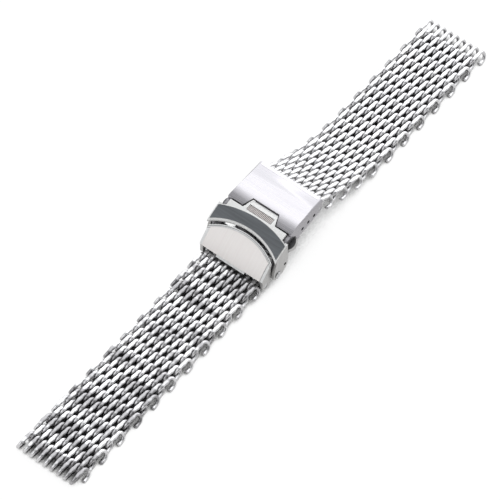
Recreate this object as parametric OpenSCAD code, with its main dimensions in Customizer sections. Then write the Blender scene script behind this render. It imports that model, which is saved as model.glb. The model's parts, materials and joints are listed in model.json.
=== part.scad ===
// Mesh watch band with a folding clasp, lying on a table.
// Two woven halves of round wire run along X and meet in the clasp.
// The origin is on the table, under the middle of the whole band, and Y runs across the band.

/* [Mesh] */
// Width of the band across its widest rows
band_w = 20; // [16:0.5:24]
// Diameter of the wire
wire_d = 0.92; // [0.7:0.01:1.1]
// Number of rows in each half
rows = 22; // [12:1:22]

/* [Lie on the table] */
// Height of the bar that carries the near half
near_bar_z = 3.2; // [2.6:0.1:4]
// Height of the bar that carries the far half
far_bar_z = 12.1; // [11.6:0.1:12.1]
// Number of rows over which the near half comes down to the table
near_sag_rows = 16; // [8:1:20]
// Number of rows over which the far half comes down to the table
far_sag_rows = 10.5; // [8:0.5:14]

/* [Clasp] */
// Thickness of the side walls of the cover
wall_t = 0.9; // [0.7:0.05:1.1]
// Thickness of the top of the cover
top_t = 0.75; // [0.5:0.05:0.8]
// Diameter of the bars that carry the mesh
bar_d = 1.5; // [1:0.05:1.6]
// Distance between the holes for moving the far half
hole_step = 2.4; // [2:0.05:2.6]
// Number of those holes in each side wall
hole_count = 4; // [3:1:4]
// Thickness of the two folding blades
blade_t = 0.8; // [0.5:0.05:0.9]
// Width of the folding blades
blade_w = 12; // [8:0.5:14]
// Diameter of the two hinge pins
pin_d = 1.1; // [0.8:0.05:1.3]
// Travel of each push button
button_travel = 0.8; // [0.4:0.05:0.9]

/* [Hidden] */
$fn = 48;

// Weave: one row is a flattened wire helix that runs across the band
wide_loops = floor((band_w - wire_d) / (2.304 * wire_d));
loop_pitch = (band_w - wire_d) / wide_loops;
leg_h = 1.391 * wire_d;
leg_half = 1.304 * wire_d;
leg_step = 0.03;
leg_end = leg_half + 0.1;
arc_r = norm([leg_h, loop_pitch / 4]);
arc_tilt = atan2(leg_h, loop_pitch / 4);
row_pitch = 2 * (leg_half + arc_r - wire_d) + 0.03;
mesh_t = 2 * leg_h + wire_d;
rest_z = mesh_t / 2;

// Lie of a half: each row is turned a little less than the one before, until the mesh is flat
function turn_of(i, start, sag) = max(0, start * (1 - i / sag));
function run_of(i) = i == 0 ? leg_half + row_pitch / 2 : row_pitch;
function drop_of(start, sag, i = 0) =
    i >= rows ? 0 : run_of(i) * sin(turn_of(i, start, sag)) + drop_of(start, sag, i + 1);
function start_for(drop, sag, low = 0, high = 60, n = 40) =
    n == 0 ? (low + high) / 2
    : drop_of((low + high) / 2, sag) > drop
        ? start_for(drop, sag, low, (low + high) / 2, n - 1)
        : start_for(drop, sag, (low + high) / 2, high, n - 1);
// Centre of row i, as distance out from the bar and height below it
function centre_of(i, start, sag) =
    i == 0 ? leg_half * [cos(turn_of(0, start, sag)), sin(turn_of(0, start, sag))]
    : centre_of(i - 1, start, sag)
        + row_pitch / 2 * [cos(turn_of(i - 1, start, sag)), sin(turn_of(i - 1, start, sag))]
        + row_pitch / 2 * [cos(turn_of(i, start, sag)), sin(turn_of(i, start, sag))];

near_start = start_for(near_bar_z - rest_z, near_sag_rows);
far_start = start_for(far_bar_z - rest_z, far_sag_rows);

// Distance from the middle of the clasp to the middle of the whole band
function reach(start, sag) = centre_of(rows - 1, start, sag)[0];
clasp_x = (reach(near_start, near_sag_rows) - reach(far_start, far_sag_rows)) / 2;

// Clearances
side_gap = 0.16;
turn_gap = 0.06;
part_gap = 0.25;
// Reach of cuts and plan outlines that pass everything they meet
beyond = 20;

// Cover
inner_w = band_w - loop_pitch + 2 * side_gap;
cover_w = inner_w + 2 * wall_t;
bar_x = 11.1;
cover_far = 12.2;
// Room for the mesh between the middle of the far bar and the underside of the top
mesh_room = 2.05;
cover_top = far_bar_z + mesh_room + top_t;
cover_edge_r = 1;
step_x = -0.9;
fall_x = 3.4;
fall_r = 15;
hole_d = 1;
hole_rise = 0.25;
far_bar = [bar_x, far_bar_z];

// Curved nose of the clasp, seen from the side: its arc runs through a point at the middle of the
// flip lock, where this is the direction out of the surface
nose_r = 17;
nose_mid = [-3.36, 13.42];
nose_out = [-0.28, 0.96];
nose = nose_mid - nose_r * nose_out;
lock_t = 0.7;
deck_r = nose_r - lock_t - part_gap;
deck_t = 0.8;
lock_pivot = [-7.4, 4.8];
cover_hinge = [-4.4, 6.2];
ear_r = 1.2;

// Flip lock
lock_far_side = -3.5;
lock_far_bow = 1.9;
lock_near_side = -7.9;
lock_near_bow = 2.5;
pad_t = 0.2;
bright_edge = 0.35;
lip_x = -1.2;
tab_x = 1.75;
tab_w = 8.4;
arm_t = 0.8;
arm_in = cover_w / 2 + 0.12;
arm_out = arm_in + arm_t;
pin_head_d = 1.8;
pin_face_d = 1.2;
pin_head_t = 0.2;
pin_head_gap = 0.05;

// End plate: its arc starts at the far edge, where this is the direction out of the surface
plate_r = 19.77;
plate_edge = [-8.822, 10.176];
plate_out = [-0.6, 0.8];
plate = plate_edge - plate_r * plate_out;
plate_t = 0.8;
plate_far_side = -8.8;
plate_far_bow = 2.7;
plate_near = [-12.8, 6.2];
tongue_tip = [-13.25, 5.65];
tongue_w = 9;
near_bar = [-bar_x, near_bar_z];
web_x = -8.9;
web_t = 1.2;

// Blades: two arcs about one centre, the upper one from below the near hinge to the far one
blade_r = 28;
far_hinge = [9.6, 7.4];
blade_near = cover_hinge - [0, 0.6];
blade_mid = (blade_near + far_hinge) / 2;
blade_chord = far_hinge - blade_near;
blade_centre = blade_mid
    + sqrt(blade_r * blade_r - blade_chord * blade_chord / 4)
    * [blade_chord[1], -blade_chord[0]] / norm(blade_chord);
blade_gap = 0.4;
low_r = blade_r - blade_t - blade_gap;
knuckle_r = pin_d / 2 + 0.55;
knuckle_n = 5;
knuckle_w = blade_w / knuckle_n;

// Push buttons
button = [-0.8, 9.8];
catch_w = 6;
button_slope = 21;
button_l = 4.2;
button_out = button_travel + 0.5;
button_t = 1.8;
flange_t = 0.8;
stem_d = 1.4;
catch_gap = 0.4;
stem_in = catch_w / 2 + catch_gap + button_travel;
guide_in = 5.4;
guide_t = 0.6;
spring_d = 2.2;
spring_wire = 0.25;
spring_turns = 4;
catch_l = 2;
catch_top = 10.4;

function row_name(half, i) = str(half, "_row_", i < 10 ? "0" : "", i);

// Helpers

// Every piece is drawn about the middle of the clasp and moved so that the band is centred
module placed() {
    translate([clasp_x, 0, 0]) children();
}

// A shape drawn as [x, z] and made w wide about the middle of the band
module across(w) {
    rotate([90, 0, 0]) linear_extrude(w, center = true) children();
}

// A round bar or hole along Y at the place [x, z]
module rod(place, d, y0, y1) {
    translate([place[0], y0, place[1]]) rotate([-90, 0, 0]) cylinder(d = d, h = y1 - y0);
}

module at(place) {
    translate([place[0], place[1]]) children();
}

module ring_2d(centre, r_in, r_out) {
    at(centre) difference() {
        circle(r_out, $fn = 180);
        circle(r_in, $fn = 180);
    }
}

module both_sides() {
    children();
    mirror([0, 1, 0]) children();
}

// Plan outline of a piece whose ends bow towards +X by a sagitta over the width w
module bowed_end(x_side, bow, w) {
    r = (w * w / 4 + bow * bow) / (2 * bow);
    translate([x_side + bow - r, 0]) circle(r, $fn = 360);
}

// Mesh

// Straight leg, a little thinner than the bends, so that its ends lie inside them
module leg(x0, x1, y, z) {
    translate([x0, y, z]) rotate([0, 90, 0]) cylinder(d = wire_d - 2 * leg_step, h = x1 - x0);
}

module half_ring(turn, tilt) {
    rotate([tilt, 0, 0]) rotate([0, 0, turn]) rotate_extrude(angle = 180)
        translate([arc_r, 0]) circle(d = wire_d);
}

module mesh_row(loops) {
    top_y = (loops - 1) / 2 * loop_pitch;
    leg(-leg_end, 0, top_y + loop_pitch / 2, -leg_h);
    for (j = [0 : loops - 1]) translate([0, top_y - j * loop_pitch, 0]) {
        leg(-leg_end, leg_end, 0, leg_h);
        translate([-leg_half, loop_pitch / 4, 0]) half_ring(90, -arc_tilt);
        translate([leg_half, -loop_pitch / 4, 0]) half_ring(-90, arc_tilt);
        leg(j == loops - 1 ? 0 : -leg_end, leg_end, -loop_pitch / 2, -leg_h);
    }
}

// Row i of a half, counted from 0 at the bar; side is 1 for the far half and -1 for the near one
module laid_row(i, side, bar, start, sag) {
    c = centre_of(i, start, sag);
    placed() color([0.78, 0.78, 0.79])
    translate([bar[0] + side * c[0], 0, bar[1] - c[1]])
    rotate([0, side * turn_of(i, start, sag), 0])
    mesh_row(i % 2 == 0 ? wide_loops - 1 : wide_loops);
}

module near_row(i) {
    laid_row(i - 1, -1, near_bar, near_start, near_sag_rows);
}

module far_row(i) {
    laid_row(i - 1, 1, far_bar, far_start, far_sag_rows);
}

// Clasp cover: a channel with round long edges, a curved deck below the flip lock, and two ears

// Everything below the top of the cover, t below its surface
module below_top_2d(t) {
    intersection() {
        translate([fall_x - fall_r, cover_top - fall_r]) square([fall_r, fall_r]);
        translate([fall_x, cover_top - 0.35 - fall_r]) circle(fall_r - t, $fn = 240);
    }
    polygon([
        [fall_x - 0.01, 0],
        [fall_x - 0.01, cover_top - 0.35 - t],
        [cover_far, cover_top - t],
        [cover_far, 0]
    ]);
}

module cover_side_2d() {
    difference() {
        intersection() {
            polygon([
                [cover_far, cover_top],
                [cover_far, cover_top - top_t - 0.3],
                [cover_far - 0.35, cover_top - top_t - 0.6],
                [cover_far - 0.35, 11.5],
                [cover_far - 1.1, 10.95],
                [8.65, 10.5],
                [5.5, 10],
                [2.8, 9.9],
                [1.9, 8.6],
                [-2.3, 7],
                [-3, 6.2],
                [-3.2, 5.2],
                [-6.6, 3.7],
                [-7.4, 3.6],
                [lock_pivot[0] - ear_r, lock_pivot[1]],
                [lock_near_side + 0.5, 10.6],
                [-2, cover_top],
            ]);
            union() {
                at(nose) circle(deck_r, $fn = 240);
                translate([step_x, 0]) square([cover_far - step_x, cover_top]);
            }
        }
        difference() {
            translate([step_x, 0]) square([cover_far, 2 * cover_top]);
            below_top_2d(0);
        }
    }
    at(lock_pivot) circle(ear_r);
}

module cover_hollow_2d() {
    intersection() {
        translate([-beyond, 0]) square([2 * beyond, cover_top]);
        union() {
            at(nose) circle(deck_r - deck_t, $fn = 240);
            intersection() {
                translate([step_x + deck_t, 0]) square([2 * beyond, cover_top]);
                below_top_2d(top_t);
            }
            translate([cover_far - 0.01, 0]) square([1, cover_top - top_t]);
        }
    }
}

// Cross-section of the cover with round long edges, seen along X
module cover_section_2d() {
    translate([-cover_w / 2, 0]) square([cover_w, cover_top - cover_edge_r]);
    translate([-cover_w / 2 + cover_edge_r, 0]) square([cover_w - 2 * cover_edge_r, cover_top]);
    for (s = [-1, 1]) translate([s * (cover_w / 2 - cover_edge_r), cover_top - cover_edge_r])
        circle(cover_edge_r);
}

module button_window_2d() {
    at(button) rotate(button_slope)
        square([button_l + 0.2, button_t + 0.2], center = true);
}

module stem_guide() {
    difference() {
        translate([button[0] - 1.6, guide_in, button[1] - 1.25])
            cube([3.2, guide_t, cover_top - top_t - button[1] + 0.75]);
        rod(button, stem_d + 2 * turn_gap, guide_in - 1, guide_in + guide_t + 1);
    }
}

// Plan outline of the notch that takes the lip and the tab of the flip lock
module lip_notch_2d(gap) {
    polygon([
        [lip_x - 8, -cover_w],
        [lip_x + gap, -cover_w],
        [lip_x + gap, -tab_w / 2 - 0.9 - gap],
        [tab_x + gap, -tab_w / 2 + 0.3 - gap],
        [tab_x + gap, tab_w / 2 - 0.3 + gap],
        [lip_x + gap, tab_w / 2 + 0.9 + gap],
        [lip_x + gap, cover_w],
        [lip_x - 8, cover_w]
    ]);
}

module cover_shell() {
    intersection() {
        difference() {
            across(cover_w) cover_side_2d();
            across(inner_w) cover_hollow_2d();
        }
        translate([-beyond, 0, 0]) rotate([90, 0, 90]) linear_extrude(2 * beyond) cover_section_2d();
    }
}

module cover() {
    placed() color([0.86, 0.86, 0.87])
    difference() {
        union() {
            cover_shell();
            both_sides() stem_guide();
        }
        // room for the lip, the tab and the finger nail
        intersection() {
            linear_extrude(beyond) lip_notch_2d(part_gap);
            across(3 * cover_w) difference() {
                translate([-beyond, 0]) square(2 * beyond);
                at(nose) circle(deck_r, $fn = 240);
            }
        }
        // bowed near end of the deck
        translate([0, 0, 5.5]) linear_extrude(12) intersection() {
            translate([-beyond, -inner_w / 2]) square([beyond, inner_w]);
            bowed_end(lock_near_side + 0.6, lock_near_bow, cover_w);
        }
        for (i = [0 : hole_count - 1])
            rod(far_bar - i * [hole_step, hole_rise], hole_d, -cover_w, cover_w);
        both_sides() translate([0, cover_w / 2, 0]) across(2 * wall_t + 0.4) button_window_2d();
        rod(cover_hinge, pin_d, -cover_w, cover_w);
        rod(lock_pivot, pin_d, -cover_w, cover_w);
    }
}

// Flip lock: a bowed strip with a lip and a nail tab, and an arm down each side

module lock_plan_2d() {
    difference() {
        union() {
            intersection() {
                bowed_end(lock_far_side, lock_far_bow, cover_w);
                square([2 * beyond, 2 * arm_out], center = true);
            }
            intersection() {
                lip_notch_2d(0);
                square([2 * beyond, 2 * (cover_w / 2 - 1.1)], center = true);
            }
        }
        bowed_end(lock_near_side, lock_near_bow, cover_w);
    }
}

module lock_pad_plan_2d() {
    intersection() {
        difference() {
            bowed_end(lock_far_side - bright_edge, lock_far_bow, cover_w);
            bowed_end(lock_near_side + bright_edge, lock_near_bow, cover_w);
        }
        square([2 * beyond, 2 * (arm_out - bright_edge)], center = true);
    }
}

module lock_arm_2d() {
    difference() {
        union() {
            at(lock_pivot) circle(1.7);
            intersection() {
                polygon([
                    [-3.3, 16],
                    [-3.3, 6.6],
                    [-3.5, 5.4],
                    [-4.1, 4.5],
                    [-5.3, 3.6],
                    [-6.6, 3.3],
                    [-9, 5.3],
                    [-8.9, 6.4],
                    [lock_near_side, 9.4],
                    [lock_near_side, 16]
                ]);
                at(nose) circle(nose_r - pad_t, $fn = 240);
            }
        }
        at(lock_pivot) circle(pin_d / 2 + turn_gap);
        at(cover_hinge) circle(pin_d / 2 - 0.1);
    }
}

module flip_lock() {
    placed() color([0.45, 0.46, 0.49]) {
        difference() {
            intersection() {
                linear_extrude(beyond) lock_plan_2d();
                across(2 * arm_out) ring_2d(nose, nose_r - lock_t, nose_r - pad_t);
            }
            // grip recess of the nail tab
            translate([-1.35, -3.9, nose[1] + nose_r - 0.55]) cube([1.75, 7.8, 2]);
        }
        intersection() {
            linear_extrude(beyond) lock_pad_plan_2d();
            across(2 * arm_out) ring_2d(nose, nose_r - pad_t - 0.1, nose_r);
        }
        for (k = [-9 : 9]) translate([-1.3, k * 0.4 - 0.1, nose[1] + nose_r - 0.65]) cube([1.65, 0.2, 0.3]);
        both_sides() translate([0, (arm_in + arm_out) / 2, 0]) across(arm_t) lock_arm_2d();
    }
}

module flip_lock_pins() {
    placed() color([0.8, 0.8, 0.82]) both_sides() {
        rod(lock_pivot, pin_d, inner_w / 2, arm_out + 2 * pin_head_gap);
        rod(lock_pivot, pin_head_d, arm_out + pin_head_gap, arm_out + pin_head_gap + pin_head_t);
        translate([lock_pivot[0], arm_out + pin_head_gap + pin_head_t, lock_pivot[1]])
            rotate([-90, 0, 0]) cylinder(d1 = pin_head_d, d2 = pin_face_d, h = pin_head_t);
    }
}

// Push buttons: a half-moon head, a flange inside the wall, and a round latch stem

module push_button() {
    head_r = (button_l * button_l / 4 + button_out * button_out) / (2 * button_out);
    flange_y = inner_w / 2 - 0.15;
    placed() color([0.6, 0.6, 0.62]) {
        translate([button[0], 0, button[1]]) rotate([0, -button_slope, 0]) {
            translate([0, 0, -button_t / 2]) linear_extrude(button_t) intersection() {
                translate([0, cover_w / 2 + button_out - head_r]) circle(head_r, $fn = 96);
                translate([-button_l / 2 + 0.05, flange_y - 0.1]) square([button_l - 0.1, 4]);
            }
            translate([-button_l / 2 - 0.4, flange_y - flange_t, -button_t / 2 - 0.3])
                cube([button_l + 0.8, flange_t, button_t + 0.6]);
        }
        rod(button, stem_d, stem_in + 0.4, flange_y - flange_t + 0.1);
        translate([button[0], stem_in, button[1]])
            rotate([-90, 0, 0]) cylinder(d1 = 0.8, d2 = stem_d, h = 0.4);
    }
}

module push_button_left() {
    push_button();
}

module push_button_right() {
    mirror([0, 1, 0]) push_button();
}

// One spring round each stem, between the guide and the flange
module button_spring() {
    sides = 6;
    steps = 8 * spring_turns;
    y0 = guide_in + guide_t + spring_wire / 2;
    y1 = inner_w / 2 - 0.15 - flange_t - spring_wire / 2;
    rise = (y1 - y0) / (360 * spring_turns);
    points = [
        for (k = [0 : steps]) for (m = [0 : sides - 1])
            let (
                a = 360 * spring_turns * k / steps,
                b = 360 * m / sides,
                r = spring_d / 2 + spring_wire / 2 * cos(b)
            )
            [r * cos(a), y0 + rise * a + spring_wire / 2 * sin(b), r * sin(a)]
    ];
    faces = concat(
        [[for (m = [0 : sides - 1]) m]],
        [[for (m = [sides - 1 : -1 : 0]) steps * sides + m]],
        [for (k = [0 : steps - 1]) for (m = [0 : sides - 1])
            [k * sides + m, (k + 1) * sides + m, (k + 1) * sides + (m + 1) % sides]],
        [for (k = [0 : steps - 1]) for (m = [0 : sides - 1])
            [k * sides + m, (k + 1) * sides + (m + 1) % sides, k * sides + (m + 1) % sides]]
    );
    translate([button[0], 0, button[1]]) polyhedron(points, faces);
}

module button_springs() {
    placed() color([0.7, 0.7, 0.72]) both_sides() button_spring();
}

// Folding blades

module blade_arc_2d(r, x0, x1) {
    intersection() {
        ring_2d(blade_centre, r - blade_t / 2, r + blade_t / 2);
        translate([x0, 0]) square([x1 - x0, beyond]);
    }
}

// Fingers of the far hinge: odd is 0 for the lower blade's and 1 for the upper blade's
module hinge_fingers(odd, gap) {
    for (k = [odd : 2 : knuckle_n - 1])
        translate([0, -blade_w / 2 + (k + 0.5) * knuckle_w, 0]) across(knuckle_w - gap) children();
}

module blade(r, x_near, odd) {
    difference() {
        across(blade_w) blade_arc_2d(r, x_near, far_hinge[0] - 0.5);
        hinge_fingers(1 - odd, -0.12) at(far_hinge) circle(knuckle_r + 0.15);
    }
    hinge_fingers(odd, 0.12) at(far_hinge) circle(knuckle_r);
}

module upper_blade() {
    placed() color([0.82, 0.82, 0.83]) difference() {
        union() {
            difference() {
                blade(blade_r, cover_hinge[0], 1);
                hinge_fingers(0, -0.12) at(far_hinge) circle(knuckle_r + 0.15);
            }
            rod(cover_hinge, 2 * knuckle_r, -blade_w / 2, blade_w / 2);
        }
        rod(cover_hinge, pin_d + 2 * turn_gap, -blade_w, blade_w);
        rod(far_hinge, pin_d + 2 * turn_gap, -blade_w, blade_w);
        translate([button[0] - catch_l / 2 - 0.9, -catch_w / 2 - 0.5, 4])
            cube([catch_l + 1.8, catch_w + 1, 8]);
    }
}

module lower_blade() {
    placed() color([0.82, 0.82, 0.83]) difference() {
        blade(low_r, web_x, 0);
        rod(far_hinge, pin_d, -blade_w, blade_w);
    }
}

module cover_hinge_pin() {
    placed() color([0.75, 0.75, 0.77]) rod(cover_hinge, pin_d, -cover_w / 2 + 0.05, cover_w / 2 - 0.05);
}

module blade_hinge_pin() {
    placed() color([0.75, 0.75, 0.77]) rod(far_hinge, pin_d, -blade_w / 2, blade_w / 2);
}

module catch_block() {
    placed() color([0.75, 0.75, 0.77]) across(catch_w) difference() {
        polygon([
            [button[0] - catch_l / 2, 4],
            [button[0] + catch_l / 2, 4],
            [button[0] + catch_l / 2, catch_top - 0.6],
            [button[0] + catch_l / 2 - 0.5, catch_top],
            [button[0] - catch_l / 2 + 0.5, catch_top],
            [button[0] - catch_l / 2, catch_top - 0.6]
        ]);
        at(blade_centre) circle(low_r + blade_t / 2, $fn = 180);
    }
}

// End plate with the cheeks that hold the near bar, and the web that is welded to the lower blade

module plate_wedge_2d(tip) {
    polygon([plate, plate + 1.3 * (tip - plate), [-beyond, beyond], [0, beyond]]);
}

module plate_layer(r_in, r_out, tip, x_far, half_w) {
    intersection() {
        across(2 * half_w) intersection() {
            ring_2d(plate, r_in, r_out);
            plate_wedge_2d(tip);
        }
        linear_extrude(beyond) bowed_end(x_far, plate_far_bow, cover_w);
    }
}

module cheek_2d() {
    difference() {
        union() {
            at(near_bar) circle(1.35);
            intersection() {
                polygon([
                    near_bar,
                    near_bar + [-1.3, 0.3],
                    plate_near + [0.4, 0],
                    [-9.05, 12],
                    [-9.05, near_bar_z + 0.4],
                    near_bar + [0.9, -1]
                ]);
                at(plate) circle(plate_r - plate_t + 0.1, $fn = 180);
            }
        }
        at(near_bar) circle(d = bar_d);
    }
}

module end_plate() {
    tongue_half = tongue_w / 2;
    placed() color([0.83, 0.82, 0.82]) {
        plate_layer(plate_r - plate_t, plate_r - 0.15, plate_near, plate_far_side, cover_w / 2);
        plate_layer(plate_r - 0.2, plate_r, plate_near, plate_far_side - 0.7, cover_w / 2 - 0.8);
        plate_layer(plate_r - 0.55, plate_r - 0.15, tongue_tip, plate_far_side, tongue_half);
        both_sides() translate([0, (inner_w + cover_w) / 4, 0]) across(wall_t) cheek_2d();
        across(blade_w) difference() {
            intersection() {
                union() {
                    translate([web_x, 0]) square([web_t, 12]);
                    intersection() {
                        translate([web_x, 0]) square([2.6, 12]);
                        at(blade_centre) circle(low_r + blade_t / 2 + 0.7, $fn = 180);
                    }
                }
                at(plate) circle(plate_r - plate_t + 0.1, $fn = 180);
            }
            at(blade_centre) circle(low_r + blade_t / 2, $fn = 180);
        }
    }
}

// Bars

module end_bar() {
    placed() color([0.75, 0.75, 0.77]) rod(near_bar, bar_d, -cover_w / 2 + 0.05, cover_w / 2 - 0.05);
}

module adjust_bar() {
    half = inner_w / 2 - 0.1;
    placed() color([0.75, 0.75, 0.77]) difference() {
        rod(far_bar, bar_d, -half, half);
        both_sides() rod(far_bar, hole_d + 0.05, half - 3.6, half + 1);
    }
}

module adjust_bar_tip() {
    tip_out = inner_w / 2 + wall_t - 0.05;
    placed() color([0.75, 0.75, 0.77]) rod(far_bar, hole_d - 0.1, inner_w / 2 - 2.5, tip_out);
}

module adjust_bar_tip_left() {
    adjust_bar_tip();
}

module adjust_bar_tip_right() {
    mirror([0, 1, 0]) adjust_bar_tip();
}

cover();
flip_lock();
flip_lock_pins();
push_button_left();
push_button_right();
button_springs();
cover_hinge_pin();
upper_blade();
blade_hinge_pin();
lower_blade();
catch_block();
end_plate();
end_bar();
adjust_bar();
adjust_bar_tip_left();
adjust_bar_tip_right();
for (i = [1 : rows]) {
    near_row(i);
    far_row(i);
}
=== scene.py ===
"""Looks of a mesh watch band with a folding clasp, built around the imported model."""

import json
import math

import bmesh
import bpy
from mathutils import Matrix, Vector


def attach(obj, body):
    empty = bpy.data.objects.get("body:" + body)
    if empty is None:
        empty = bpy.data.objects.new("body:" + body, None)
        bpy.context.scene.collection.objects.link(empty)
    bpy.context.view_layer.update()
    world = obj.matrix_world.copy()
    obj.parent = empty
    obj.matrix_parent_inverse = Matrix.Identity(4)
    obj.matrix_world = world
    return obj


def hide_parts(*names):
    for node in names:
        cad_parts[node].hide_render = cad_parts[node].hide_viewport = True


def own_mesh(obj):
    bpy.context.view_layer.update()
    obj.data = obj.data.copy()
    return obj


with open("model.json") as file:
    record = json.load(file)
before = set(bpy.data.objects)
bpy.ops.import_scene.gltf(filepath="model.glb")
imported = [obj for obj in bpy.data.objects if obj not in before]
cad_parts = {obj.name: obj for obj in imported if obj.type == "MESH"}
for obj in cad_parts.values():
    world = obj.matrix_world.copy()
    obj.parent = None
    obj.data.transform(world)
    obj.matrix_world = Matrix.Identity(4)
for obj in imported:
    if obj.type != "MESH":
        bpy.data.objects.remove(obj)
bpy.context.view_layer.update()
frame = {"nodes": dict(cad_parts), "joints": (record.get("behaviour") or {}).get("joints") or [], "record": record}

MM = 0.001

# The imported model: its nodes, the place of each moving body's joint and the body of each node
NODES = frame["nodes"]
HINGES = {j["child"]: Vector(j["pos_m"]) for j in frame["joints"]}
BODY_OF = {
    node: body
    for body, members in frame["record"]["behaviour"]["bodies"].items()
    for node in members
}
ROW_COUNT = sum(name.startswith("far_row_") for name in NODES)

# Mesh: one row is a flattened wire helix that runs across the band. Its legs swell by a share of
# their width and lean a little, and past FLAT_START wire radii they keep a share of their height
WIRE_R = 0.46 * MM
LOOP_PITCH = 2.12 * MM
ODD_LOOPS = 8
EVEN_LOOPS = 9
LEG_H = 1.28 * MM
LEG_HALF = 1.2 * MM
ARC_R = math.hypot(LEG_H, LOOP_PITCH / 4)
WIRE_SIDES = 16
ARC_STEPS = 12
LEG_STEPS = 8
LEG_SWELL = 0.3
LEG_LEAN = 0.04 * MM
FLAT_START = 0.72
FLAT_KEEP = 0.4

# Rounded ends of the wire, in wire radii: how far they reach past the path, and from the tip
# inwards the place and radius of each ring
END_LENGTH = 0.35
END_DOME = ((0.0, 0.55), (0.25, 0.9))

# Clasp, in its own millimetres: X from the middle of the clasp and Z from the table
LOCK_HINGE_X = -7.4
CLASP_X = HINGES["flip_lock"].x - LOCK_HINGE_X * MM

# Flip lock: axis and radius of its bowed pad, the radius of the rim round the pad, how deep faces
# of the strip reach under that rim, the inner side of the arms and the box of the grip
NOSE = (1.4, -2.9)
NOSE_R = 17
LOCK_RIM_R = 16.8
STRIP_DEPTH = 0.8
ARM_IN = 10.12
GRIP_X = (-1.4, 0.45)
GRIP_Y = (-3.95, 3.95)
GRIP_Z = (13.4, 13.8)

# End plate: axis and radius of its bowed pad, how deep its rim reaches under the pad, and the arc of
# the far edge, seen from above, with the width of the rim along it
PLATE = (3.04, -5.64)
PLATE_R = 19.77
PLATE_DEPTH = 0.3
PLATE_BOW_X = -25.97
PLATE_BOW_R = 19.87
PLATE_RIM = 0.7

# Picking faces: how far the corners of a pad may lie under its radius, the least part of a normal
# that faces sideways or up, and the most sideways part of one that doesn't face sideways
PAD_TOLERANCE = 0.02
FACES_SIDEWAYS = 0.9
FACES_UP = 0.2
NOT_SIDEWAYS = 0.3

# Dressed nodes: corners closer than this are joined, and edges that turn more than this stay sharp
WELD = 0.0001 * MM
CREASE = math.radians(28)

# Camera, as the photograph was taken, in degrees, metres and, for lens and sensor, millimetres
CAM_AZIMUTH = -51.95
CAM_ELEVATION = 54.78
CAM_DISTANCE = 1.0136
CAM_LENS = 288
CAM_SENSOR = 36
CAM_CLIP = (0.01, 10)
LOOK_AT = Vector((-3.04, 0.55, 1.75)) * MM

# Soft light round the part: where each starts and ends, along X, along Y and about a direction,
# and the brightness at both ends
FAR_GLOW = (-0.04, 0.54, 0.24, 1.8)
RIGHT_FALLOFF = (-0.75, -0.3, 0.42, 1.0)
NEAR_GLOW_DIRECTION = (-0.7, 0.38, 0.6)
NEAR_GLOW = (0.72, 0.95, 0.0, 0.86)
SKY_COLOUR = (0.97, 0.985, 1, 1)

# Key light
KEY_DIRECTION = (0.55, 0.3, 0.78)
KEY_DISTANCE = 1.6
KEY_SIZE = (0.5, 0.4)
KEY_RADIANCE = 1.1

# Floor: its own glow as the camera and as metal see it, the share of that glow, the reach and
# limits of the painted shadow under the band, and the colours of that painted shadow and of open paper
FLOOR_HALF = 3.0
FLOOR_GLOW = (1.08, 0.6)
FLOOR_GLOW_SHARE = 0.85
FLOOR_SHADE_REACH = 16 * MM
FLOOR_SHADE_STOPS = (0.26, 0.5)
FLOOR_PAINTED_SHADOW = (0.01, 0.01, 0.01)
FLOOR_WHITE = (1.0, 1.0, 1.0)

# Steel: its noise and the part of the noise that shows as grain, the least roughness, the strength
# of its bump, the samples of its shade and soft edges, two brushed grains and the radius of an edge
NOISE_ROUGHNESS = 0.6
GRAIN_DETAIL = 4
GRAIN_RANGE = (0.3, 0.7)
LEAST_ROUGH = 0.02
BUMP_STRENGTH = 0.6
SHADE_SAMPLES = 8
BEVEL_SAMPLES = 4
BRUSHED_ACROSS = (1, 0.02, 1)
BRUSHED_ALONG = (0.02, 1, 0.02)
EDGE = 0.05 * MM

# Lines of painted shade across the rim of the end plate, from its pad to its edge, as (place, grey)
RIM_SHADE_STOPS = ((0.0, 1), (0.03, 0.1), (0.25, 1), (0.5, 1), (0.58, 0), (0.66, 0), (0.74, 1))

# Darker rows of the mesh, in painted shade: their noise, and the least light they leave at both ends of a stretch
# of X
STREAK_SCALE = 260
STREAK_DETAIL = 2
STREAK_STRETCH = (1, 0.25, 1)
STREAK_RANGE = (0.43, 0.54)
STREAK_X = (-20 * MM, 20 * MM)
STREAK_LEAST = (0.0, 0.75)


# Node helpers


def new_material(name):
    mat = bpy.data.materials.new(name)
    mat.use_nodes = True
    mat.node_tree.nodes.clear()
    return mat


def add(tree, kind, **values):
    """Adds a shader node and sets its inputs by name"""
    node = tree.nodes.new(kind)
    for name, value in values.items():
        node.inputs[name.replace("_", " ")].default_value = value
    return node


def ramp(tree, source, stops):
    """Maps a value through a colour ramp of (place, grey) stops"""
    node = tree.nodes.new("ShaderNodeValToRGB")
    elements = node.color_ramp.elements
    while len(elements) < len(stops):
        elements.new(0.5)
    for element, (place, grey) in zip(elements, stops):
        element.position = place
        element.color = (grey, grey, grey, 1)
    tree.links.new(source, node.inputs["Fac"])
    return node.outputs["Color"]


def mapped(tree, source, low, high, to_low=0.0, to_high=1.0):
    """Maps a value from one range to another"""
    node = add(tree, "ShaderNodeMapRange")
    for name, value in (("From Min", low), ("From Max", high), ("To Min", to_low), ("To Max", to_high)):
        node.inputs[name].default_value = value
    tree.links.new(source, node.inputs["Value"])
    return node.outputs["Result"]


def stretched_noise(tree, scale, detail, stretch):
    """Noise drawn out along the axes whose scale is small"""
    coords = tree.nodes.new("ShaderNodeTexCoord")
    mapping = add(tree, "ShaderNodeMapping", Scale=stretch)
    noise = add(tree, "ShaderNodeTexNoise", Scale=scale, Detail=detail, Roughness=NOISE_ROUGHNESS)
    tree.links.new(coords.outputs["Object"], mapping.inputs["Vector"])
    tree.links.new(mapping.outputs["Vector"], noise.inputs["Vector"])
    return noise.outputs["Fac"]


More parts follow.
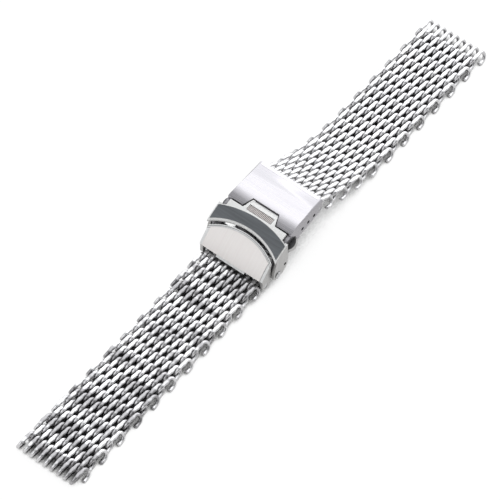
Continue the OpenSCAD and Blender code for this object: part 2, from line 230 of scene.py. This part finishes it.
def blended(tree, factor, dark, light):
    """Colour mix whose two sides are each a colour or a socket"""
    mix = tree.nodes.new("ShaderNodeMix")
    mix.data_type = "RGBA"
    tree.links.new(factor, mix.inputs["Factor"])
    for side, value in (("A", dark), ("B", light)):
        if isinstance(value, tuple):
            mix.inputs[side].default_value = (*value, 1)
        else:
            tree.links.new(value, mix.inputs[side])
    return mix.outputs["Result"]


def scaled(colour, factor):
    return tuple(min(1, c * factor) for c in colour)


def steel(name, colour, rough, metal=1.0, grain=(1, 1, 1), grain_scale=3000, tone=0.1,
          rough_range=0.1, bump=0.00001, crevice_shade=0.0, crevice_shade_reach=0.6 * MM,
          crevice_shade_stops=(0.2, 0.85), soft_edge=0.0, shade_lines=None, shade_line_tone=0.12):
    """Steel with a grain in its tone, roughness and surface, painted shade in its crevices and along given lines,
    and soft edges
    """
    mat = new_material(name)
    tree = mat.node_tree
    out = add(tree, "ShaderNodeOutputMaterial")
    shader = add(tree, "ShaderNodeBsdfPrincipled", Metallic=metal)
    tree.links.new(shader.outputs["BSDF"], out.inputs["Surface"])
    fine = stretched_noise(tree, grain_scale, GRAIN_DETAIL, grain)
    base = blended(tree, mapped(tree, fine, *GRAIN_RANGE), scaled(colour, 1 - tone),
                   scaled(colour, 1 + tone))
    # Painted shade along lines that a given function draws
    if shade_lines:
        base = blended(tree, shade_lines(tree), scaled(colour, shade_line_tone), base)
    # Painted shade: the colour darkens where ambient occlusion finds crevices
    if crevice_shade:
        shade = add(tree, "ShaderNodeAmbientOcclusion", Distance=crevice_shade_reach)
        shade.samples = SHADE_SAMPLES
        open_sky = mapped(tree, shade.outputs["AO"], *crevice_shade_stops)
        base = blended(tree, open_sky, scaled(colour, 1 - crevice_shade), base)
    tree.links.new(base, shader.inputs["Base Color"])
    smoothest = max(LEAST_ROUGH, rough - rough_range)
    spread = mapped(tree, fine, *GRAIN_RANGE, smoothest, rough + rough_range)
    tree.links.new(spread, shader.inputs["Roughness"])
    lift = add(tree, "ShaderNodeBump", Strength=BUMP_STRENGTH, Distance=bump)
    tree.links.new(fine, lift.inputs["Height"])
    if soft_edge:
        round_off = add(tree, "ShaderNodeBevel", Radius=soft_edge)
        round_off.samples = BEVEL_SAMPLES
        tree.links.new(round_off.outputs["Normal"], lift.inputs["Normal"])
    tree.links.new(lift.outputs["Normal"], shader.inputs["Normal"])
    return mat


def rim_painted_shade(tree):
    """Painted shade at the foot of the raised pad, and a painted dark line for a groove halfway along the rim of
    the end plate
    """
    coords = tree.nodes.new("ShaderNodeTexCoord")
    plan = tree.nodes.new("ShaderNodeVectorMath")
    plan.operation = "MULTIPLY"
    plan.inputs[1].default_value = (1, 1, 0)
    far = tree.nodes.new("ShaderNodeVectorMath")
    far.operation = "DISTANCE"
    far.inputs[1].default_value = (CLASP_X + PLATE_BOW_X * MM, 0, 0)
    tree.links.new(coords.outputs["Object"], plan.inputs[0])
    tree.links.new(plan.outputs[0], far.inputs[0])
    inner = (PLATE_BOW_R - PLATE_RIM) * MM
    along = mapped(tree, far.outputs["Value"], inner, PLATE_BOW_R * MM)
    return ramp(tree, along, RIM_SHADE_STOPS)


def painted_row_shade(tree):
    """Painted shade in streaks across the band, as some rows catch less light, most of all in the near half"""
    noise = stretched_noise(tree, STREAK_SCALE, STREAK_DETAIL, STREAK_STRETCH)
    streak = mapped(tree, noise, *STREAK_RANGE)
    coords = tree.nodes.new("ShaderNodeTexCoord")
    split = tree.nodes.new("ShaderNodeSeparateXYZ")
    tree.links.new(coords.outputs["Object"], split.inputs[0])
    least = mapped(tree, split.outputs["X"], *STREAK_X, *STREAK_LEAST)
    highest = tree.nodes.new("ShaderNodeMath")
    highest.operation = "MAXIMUM"
    tree.links.new(streak, highest.inputs[0])
    tree.links.new(least, highest.inputs[1])
    return highest.outputs[0]


# Finishes: their crevice settings paint shade into crevices, and the wire's rows and the plate's rim get lines of
# painted shade
MATERIALS = {
    "wire": steel("wire", (1.0, 0.98, 1.0), 0.28, metal=0.85, grain_scale=500, tone=0.05,
                  rough_range=0.06, bump=0.000004, crevice_shade=0.985, crevice_shade_reach=3 * MM,
                  crevice_shade_stops=(0.17, 0.4), shade_lines=painted_row_shade, shade_line_tone=0.45),
    "cover_steel": steel("cover_steel", (0.57, 0.555, 0.58), 0.28, grain=BRUSHED_ACROSS, tone=0.04,
                         rough_range=0.06, crevice_shade=0.95, crevice_shade_reach=2 * MM,
                         crevice_shade_stops=(0.3, 0.75), soft_edge=EDGE),
    "lock_steel": steel("lock_steel", (0.165, 0.175, 0.185), 0.42, metal=0.6, grain=BRUSHED_ACROSS,
                        tone=0.16, rough_range=0.08, soft_edge=EDGE),
    "arm_steel": steel("arm_steel", (0.64, 0.63, 0.62), 0.36, metal=0.6, grain=(1, 1, 0.05),
                       tone=0.07, rough_range=0.08, crevice_shade=0.9, crevice_shade_reach=2 * MM,
                       soft_edge=EDGE),
    "rim_steel": steel("rim_steel", (1.0, 0.99, 0.97), 0.4, metal=0.15, grain=BRUSHED_ACROSS,
                       tone=0.02, rough_range=0.05, crevice_shade=0.6, crevice_shade_reach=0.4 * MM),
    "grip_steel": steel("grip_steel", (0.42, 0.39, 0.38), 0.3, tone=0.1, crevice_shade=0.85,
                        crevice_shade_reach=0.4 * MM),
    "plate_steel": steel("plate_steel", (0.98, 0.925, 0.9), 0.42, metal=0.5, grain=BRUSHED_ALONG,
                         tone=0.04, rough_range=0.07, crevice_shade=0.8, soft_edge=EDGE),
    "plate_rim": steel("plate_rim", (1.0, 1.0, 0.99), 0.4, metal=0.1, tone=0.0,
                       rough_range=0.04, crevice_shade=0.6, crevice_shade_reach=0.4 * MM, shade_lines=rim_painted_shade),
    "button_steel": steel("button_steel", (0.17, 0.17, 0.17), 0.4, tone=0.14, soft_edge=EDGE),
    "blade_steel": steel("blade_steel", (0.7, 0.7, 0.71), 0.26, grain=BRUSHED_ALONG, tone=0.05,
                         crevice_shade=0.95, crevice_shade_reach=4 * MM, crevice_shade_stops=(0.3, 0.85),
                         soft_edge=EDGE),
    "pin_steel": steel("pin_steel", (0.8, 0.8, 0.81), 0.14, tone=0.05, rough_range=0.04,
                       crevice_shade=0.8, crevice_shade_reach=1.5 * MM, soft_edge=EDGE),
    "spring_steel": steel("spring_steel", (0.6, 0.6, 0.62), 0.3, tone=0.08),
}


# Mesh helpers


def finish_piece(name, mesh, material, node):
    """Makes a piece from a mesh, in place of a CAD node and on its body"""
    piece = bpy.data.objects.new(name, mesh)
    bpy.context.scene.collection.objects.link(piece)
    mesh.materials.append(MATERIALS[material])
    for polygon in mesh.polygons:
        polygon.use_smooth = True
    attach(piece, BODY_OF[node])
    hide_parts(node)
    return piece


def end_rings(ring, way):
    """Rings that round off an end of a tube, from its tip inwards"""
    point, ahead, side, radius = ring
    return [(point + ahead * radius * (END_LENGTH - place) * way, ahead, side, radius * share)
            for place, share in END_DOME]


def sweep(path, radius, sides):
    """Closed tube along a path, with rounded ends, as vertices and faces"""
    verts, faces = [], []
    normal = None
    last = len(path) - 1
    rings = []
    for i, point in enumerate(path):
        ahead = path[min(i + 1, last)] - path[max(i - 1, 0)]
        ahead.normalize()
        if normal is None:
            normal = ahead.orthogonal().normalized()
        else:
            normal = (normal - ahead * normal.dot(ahead)).normalized()
        rings.append((point, ahead, normal.copy(), radius))
    rings = end_rings(rings[0], -1) + rings + end_rings(rings[-1], 1)[::-1]
    for point, ahead, side, r in rings:
        across = ahead.cross(side)
        for k in range(sides):
            a = 2 * math.pi * k / sides
            verts.append(point + (side * math.cos(a) + across * math.sin(a)) * r)
    for i in range(len(rings) - 1):
        for k in range(sides):
            n = (k + 1) % sides
            faces.append((i * sides + k, i * sides + n, (i + 1) * sides + n, (i + 1) * sides + k))
    faces.append(tuple(range(sides - 1, -1, -1)))
    faces.append(tuple((len(rings) - 1) * sides + k for k in range(sides)))
    return verts, faces


# Woven rows


def row_path(loops):
    """Points along the wire of one row, in the row's own frame"""
    top_y = (loops - 1) / 2 * LOOP_PITCH
    points = []

    def leg(x0, x1, y, z):
        """Straight leg that leans one way at the top of the row and the other way at the bottom"""
        for k in range(LEG_STEPS):
            x = x0 + (x1 - x0) * k / LEG_STEPS
            lean = math.copysign(LEG_LEAN, z) * math.sin(math.pi * x / LEG_HALF)
            points.append(Vector((x, y - lean, z)))

    def bend(x, y, out, rising):
        """Half ring between the bottom and the top of the row, bulging out by its sign"""
        for k in range(ARC_STEPS):
            a = math.pi * k / ARC_STEPS
            height = -math.cos(a) if rising else math.cos(a)
            points.append(Vector((
                x + out * ARC_R * math.sin(a),
                y + math.cos(a) * LOOP_PITCH / 4,
                height * LEG_H,
            )))

    leg(0, -LEG_HALF, top_y + LOOP_PITCH / 2, -LEG_H)
    for j in range(loops):
        y = top_y - j * LOOP_PITCH
        bend(-LEG_HALF, y + LOOP_PITCH / 4, -1, True)
        leg(-LEG_HALF, LEG_HALF, y, LEG_H)
        bend(LEG_HALF, y - LOOP_PITCH / 4, 1, False)
        leg(LEG_HALF, 0 if j == loops - 1 else -LEG_HALF, y - LOOP_PITCH / 2, -LEG_H)
    points.append(Vector((0, top_y - (loops - 0.5) * LOOP_PITCH, -LEG_H)))
    return points


def rolled(point, leg_y):
    """The mesh is rolled: its legs are flat outside and wider halfway between their bends"""
    start = LEG_H + FLAT_START * WIRE_R
    if abs(point.z) > start:
        point.z = math.copysign(start + (abs(point.z) - start) * FLAT_KEEP, point.z)
    if abs(point.x) < LEG_HALF and abs(point.z) > LEG_H - WIRE_R:
        swell = LEG_SWELL * math.cos(math.pi / 2 * point.x / LEG_HALF) ** 2
        point.y += (point.y - leg_y) * swell
    return point


def row_shape(loops):
    """Vertices and faces of a row with this many loops, in the row's own frame"""
    path = row_path(loops)
    verts, faces = sweep(path, WIRE_R, WIRE_SIDES)
    rings = len(verts) // WIRE_SIDES
    spare = (rings - len(path)) // 2
    shaped = []
    for i, vert in enumerate(verts):
        ring = min(max(i // WIRE_SIDES - spare, 0), len(path) - 1)
        shaped.append(rolled(vert, path[ring].y))
    return shaped, faces


def hinge(half, number):
    return HINGES[f"{half}_row_{number:02d}"]


def build_rows():
    """Lays each row down half a pitch before the next row's hinge, and the last one past its own"""
    odd, even = row_shape(ODD_LOOPS), row_shape(EVEN_LOOPS)
    pitch = (hinge("far", ROW_COUNT) - hinge("far", ROW_COUNT - 1)).length
    for half, side in (("near", -1), ("far", 1)):
        for i in range(1, ROW_COUNT + 1):
            name = f"{half}_row_{i:02d}"
            start = hinge(half, i)
            if i < ROW_COUNT:
                end = hinge(half, i + 1)
                out = (end - start).normalized()
                centre = end - out * pitch / 2
            else:
                out = Vector((side, 0, 0))
                centre = start + out * pitch / 2
            along = out * side
            up = along.cross(Vector((0, 1, 0)))
            place = Matrix((
                (along.x, 0, up.x, centre.x),
                (along.y, 1, up.y, centre.y),
                (along.z, 0, up.z, centre.z),
                (0, 0, 0, 1),
            ))
            verts, faces = odd if i % 2 else even
            mesh = bpy.data.meshes.new(name + "_wire")
            mesh.from_pydata([place @ v for v in verts], [], faces)
            finish_piece(name + "_wire", mesh, "wire", name)


# Clasp


def dress(node, material):
    """Copies a CAD node's mesh, keeps its edges sharp and gives it a finish"""
    mesh = NODES[node].data.copy()
    mesh.materials.clear()
    bm = bmesh.new()
    bm.from_mesh(mesh)
    bmesh.ops.remove_doubles(bm, verts=bm.verts, dist=WELD)
    for edge in bm.edges:
        edge.smooth = edge.calc_face_angle(0) < CREASE
    bm.to_mesh(mesh)
    bm.free()
    return finish_piece(node + "_dressed", mesh, material, node)


def paint(piece, material, test):
    """Gives a finish to the faces whose corners, in the clasp's millimetres, and normal pass a test"""
    mesh = piece.data
    mesh.materials.append(MATERIALS[material])
    index = len(mesh.materials) - 1
    for polygon in mesh.polygons:
        corners = []
        for i in polygon.vertices:
            x, y, z = mesh.vertices[i].co
            corners.append(((x - CLASP_X) / MM, y / MM, z / MM))
        if test(corners, polygon.normal):
            polygon.material_index = index


def reach(corners, axis):
    """Least distance of the corners from an axis along Y"""
    return min(math.hypot(x - axis[0], z - axis[1]) for x, y, z in corners)


def within(values, limits):
    return limits[0] <= min(values) and max(values) <= limits[1]


def build_lock():
    lock = dress("flip_lock", "arm_steel")

    def on_strip(corners, normal):
        on_arm = abs(normal.y) > FACES_SIDEWAYS and min(abs(y) for x, y, z in corners) > ARM_IN
        return reach(corners, NOSE) > LOCK_RIM_R - STRIP_DEPTH and not on_arm

    def on_pad(corners, normal):
        return reach(corners, NOSE) > NOSE_R - PAD_TOLERANCE

    def in_grip(corners, normal):
        xs, ys, zs = zip(*corners)
        return within(xs, GRIP_X) and within(ys, GRIP_Y) and within(zs, GRIP_Z)

    paint(lock, "rim_steel", on_strip)
    paint(lock, "lock_steel", on_pad)
    paint(lock, "grip_steel", in_grip)


def build_plate():
    plate = dress("end_plate", "arm_steel")

    def on_rim(corners, normal):
        return reach(corners, PLATE) > PLATE_R - PLATE_DEPTH and normal.z > FACES_UP

    def on_pad(corners, normal):
        return reach(corners, PLATE) > PLATE_R - PAD_TOLERANCE

    paint(plate, "plate_rim", on_rim)
    paint(plate, "plate_steel", on_pad)


def build_buttons():
    """Pale ends and dark round faces"""
    for node in ("push_button_left", "push_button_right"):
        button = dress(node, "arm_steel")
        paint(button, "button_steel", lambda corners, normal: abs(normal.y) < NOT_SIDEWAYS)


def build_springs():
    """One spring round each stem"""
    for side, sign in (("left", 1), ("right", -1)):
        spring = dress("button_springs", "spring_steel")
        spring.name = f"button_spring_{side}"
        bm = bmesh.new()
        bm.from_mesh(spring.data)
        others = [vert for vert in bm.verts if vert.co.y * sign < 0]
        bmesh.ops.delete(bm, geom=others, context="VERTS")
        bm.to_mesh(spring.data)
        bm.free()
        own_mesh(spring)


def build_clasp():
    dress("cover", "cover_steel")
    build_lock()
    build_plate()
    build_buttons()
    for node in ("upper_blade", "lower_blade", "catch_block"):
        dress(node, "blade_steel")
    for node in ("flip_lock_pins", "cover_hinge_pin", "blade_hinge_pin", "end_bar", "adjust_bar",
                 "adjust_bar_tip_left", "adjust_bar_tip_right"):
        dress(node, "pin_steel")
    build_springs()


# Studio


def softbox(name, direction, distance, size, radiance):
    """Area light on a direction from the part, facing it; its power follows from its radiance"""
    light = bpy.data.lights.new(name, "AREA")
    light.shape = "RECTANGLE"
    light.size, light.size_y = size
    light.energy = radiance * math.pi * size[0] * size[1]
    lamp = bpy.data.objects.new(name, light)
    bpy.context.scene.collection.objects.link(lamp)
    lamp.location = Vector(direction).normalized() * distance
    lamp.rotation_mode = "QUATERNION"
    lamp.rotation_quaternion = Vector(direction).to_track_quat("Z", "Y")


def build_floor():
    """White paper with its own glow, and a painted shadow where the band lies close over it"""
    mesh = bpy.data.meshes.new("floor")
    corners = [(x * FLOOR_HALF, y * FLOOR_HALF, 0) for x, y in ((-1, -1), (1, -1), (1, 1), (-1, 1))]
    mesh.from_pydata(corners, [], [(0, 1, 2, 3)])
    floor = bpy.data.objects.new("floor", mesh)
    bpy.context.scene.collection.objects.link(floor)
    mat = new_material("floor")
    tree = mat.node_tree
    out = add(tree, "ShaderNodeOutputMaterial")
    # Painted shadow: the paper darkens where ambient occlusion finds the band close over it
    shade = add(tree, "ShaderNodeAmbientOcclusion", Distance=FLOOR_SHADE_REACH)
    shade.samples = SHADE_SAMPLES
    open_sky = mapped(tree, shade.outputs["AO"], *FLOOR_SHADE_STOPS)
    colour = blended(tree, open_sky, FLOOR_PAINTED_SHADOW, FLOOR_WHITE)
    paper = add(tree, "ShaderNodeBsdfDiffuse")
    glow = add(tree, "ShaderNodeEmission")
    path = tree.nodes.new("ShaderNodeLightPath")
    strength = mapped(tree, path.outputs["Is Glossy Ray"], 0, 1, *FLOOR_GLOW)
    tree.links.new(strength, glow.inputs["Strength"])
    tree.links.new(colour, paper.inputs["Color"])
    tree.links.new(colour, glow.inputs["Color"])
    mix = add(tree, "ShaderNodeMixShader", Fac=FLOOR_GLOW_SHARE)
    tree.links.new(paper.outputs[0], mix.inputs[1])
    tree.links.new(glow.outputs[0], mix.inputs[2])
    tree.links.new(mix.outputs[0], out.inputs["Surface"])
    mesh.materials.append(mat)


def smooth_step(tree, source, low, high, to_low, to_high):
    """Maps a value from one range to another with soft ends"""
    step = mapped(tree, source, low, high, to_low, to_high)
    step.node.interpolation_type = "SMOOTHSTEP"
    return step


def build_world():
    """Soft light from the far side, dimmer overhead and on the right, with a glow from the near
    left. The camera alone sees white behind the part"""
    world = bpy.data.worlds.new("studio")
    world.use_nodes = True
    tree = world.node_tree
    tree.nodes.clear()
    out = tree.nodes.new("ShaderNodeOutputWorld")
    coords = tree.nodes.new("ShaderNodeTexCoord")
    split = tree.nodes.new("ShaderNodeSeparateXYZ")
    tree.links.new(coords.outputs["Generated"], split.inputs[0])
    far_side = smooth_step(tree, split.outputs["X"], *FAR_GLOW)
    right_side = smooth_step(tree, split.outputs["Y"], *RIGHT_FALLOFF)
    toward = tree.nodes.new("ShaderNodeVectorMath")
    toward.operation = "DOT_PRODUCT"
    toward.inputs[1].default_value = Vector(NEAR_GLOW_DIRECTION).normalized()
    tree.links.new(coords.outputs["Generated"], toward.inputs[0])
    near_side = smooth_step(tree, toward.outputs["Value"], *NEAR_GLOW)
    both = tree.nodes.new("ShaderNodeMath")
    both.operation = "MULTIPLY_ADD"
    tree.links.new(far_side, both.inputs[0])
    tree.links.new(right_side, both.inputs[1])
    tree.links.new(near_side, both.inputs[2])
    soft = add(tree, "ShaderNodeBackground", Color=SKY_COLOUR)
    tree.links.new(both.outputs[0], soft.inputs["Strength"])
    white = add(tree, "ShaderNodeBackground", Color=(1, 1, 1, 1), Strength=1.0)
    mix = tree.nodes.new("ShaderNodeMixShader")
    path = tree.nodes.new("ShaderNodeLightPath")
    tree.links.new(path.outputs["Is Camera Ray"], mix.inputs["Fac"])
    tree.links.new(soft.outputs[0], mix.inputs[1])
    tree.links.new(white.outputs[0], mix.inputs[2])
    tree.links.new(mix.outputs[0], out.inputs["Surface"])
    bpy.context.scene.world = world


def build_camera():
    data = bpy.data.cameras.new("camera")
    data.lens = CAM_LENS
    data.sensor_width = CAM_SENSOR
    data.clip_start, data.clip_end = CAM_CLIP
    camera = bpy.data.objects.new("camera", data)
    bpy.context.scene.collection.objects.link(camera)
    a, e = math.radians(CAM_AZIMUTH), math.radians(CAM_ELEVATION)
    back = Vector((math.sin(a) * math.cos(e), -math.cos(a) * math.cos(e), math.sin(e)))
    camera.location = LOOK_AT + back * CAM_DISTANCE
    camera.rotation_mode = "QUATERNION"
    camera.rotation_quaternion = back.to_track_quat("Z", "Y")
    bpy.context.scene.camera = camera


build_camera()
build_floor()
build_world()
softbox("key", KEY_DIRECTION, KEY_DISTANCE, KEY_SIZE, KEY_RADIANCE)
build_rows()
build_clasp()

scene = bpy.context.scene
scene.view_settings.view_transform = "Standard"
